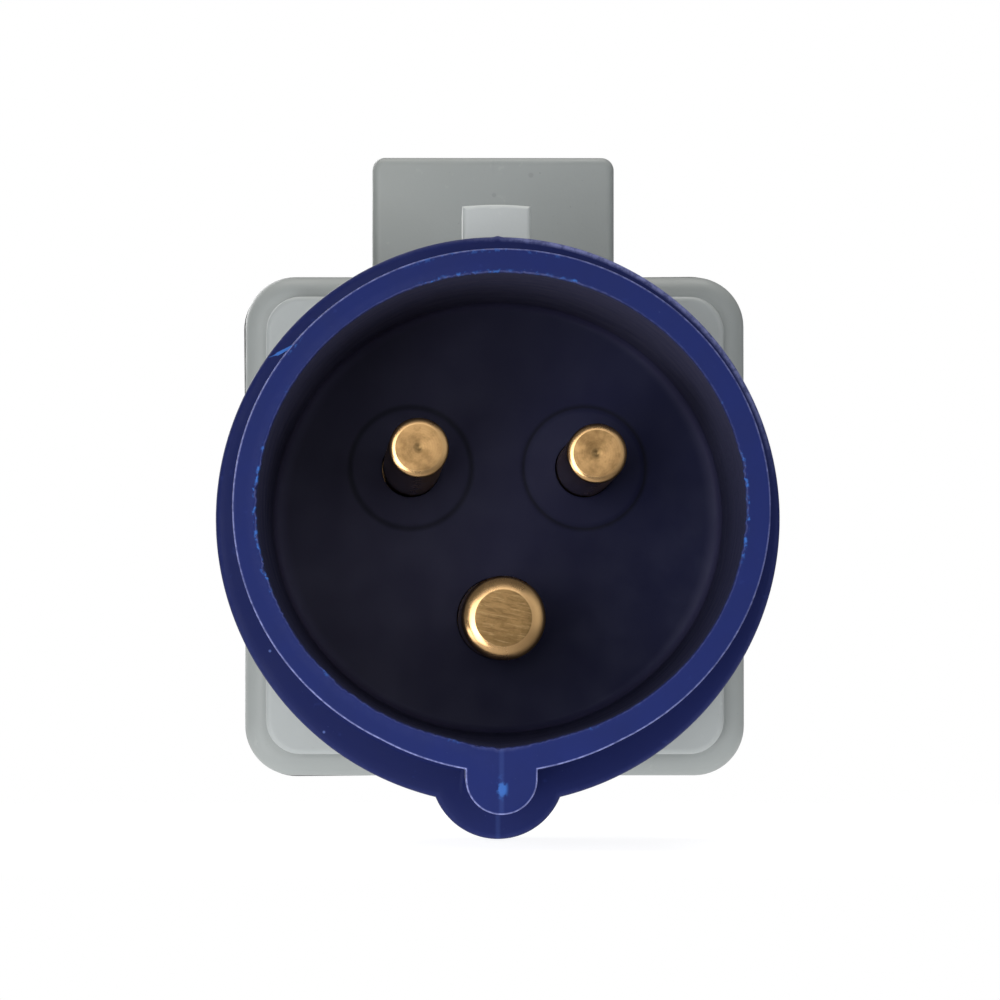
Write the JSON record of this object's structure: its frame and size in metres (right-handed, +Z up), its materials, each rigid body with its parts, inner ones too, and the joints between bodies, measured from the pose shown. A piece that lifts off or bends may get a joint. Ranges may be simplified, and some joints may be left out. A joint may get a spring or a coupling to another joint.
{
  "type": "industrial to schuko adapter",
  "caption": "Adapter with a round blue industrial plug shroud and brass pins at one end and a square grey earthed socket under a sprung lid at the other.",
  "frame": {"origin": "centre of the contact floor's front face, on the plug axis between the pins", "axes": "-Y along the pins towards the mating connector, +Y towards the socket's mouth, +Z up towards the hinge, key nose down"},
  "size_m": [0.0492, 0.1131, 0.0635],
  "materials": {
    "blue_plastic": "satin moulded polyamide",
    "grey_plastic": "fine moulded satin",
    "carrier_plastic": "matt moulded",
    "brass": "turned, lightly tarnished",
    "plated_steel": "zinc plated",
    "black_rubber": "matt"
  },
  "bodies": {
    "body": {"plug_shroud": "blue_plastic", "line_pin": "brass", "neutral_pin": "brass", "earth_pin": "brass", "pin_retainer": "carrier_plastic", "retainer_screws": "plated_steel", "neck_seal": "black_rubber", "housing": "grey_plastic", "body_gasket": "black_rubber", "socket_body": "grey_plastic", "corner_screws": "plated_steel", "socket_insert": "grey_plastic", "contact_carrier": "carrier_plastic", "line_contact": "brass", "neutral_contact": "brass", "contact_rings": "plated_steel", "earth_clip": "plated_steel", "centre_screw": "plated_steel", "line_link": "brass", "neutral_link": "brass", "earth_link": "brass", "terminal_screws": "plated_steel", "hinge_pin": "plated_steel", "hinge_spring": "plated_steel"},
    "lid": {"lid": "grey_plastic", "lid_gasket": "black_rubber"}
  },
  "joints": [
    {"name": "lid_hinge", "type": "hinge", "parent": "body", "child": "lid", "pos_m": [0, 0.062, 0.03], "axis": [1, 0, 0], "range_deg": [0, 110], "stiffness_Nm_per_rad": 0.012, "springref_deg": -68.75, "deforming": ["hinge_spring"]}
  ]
}
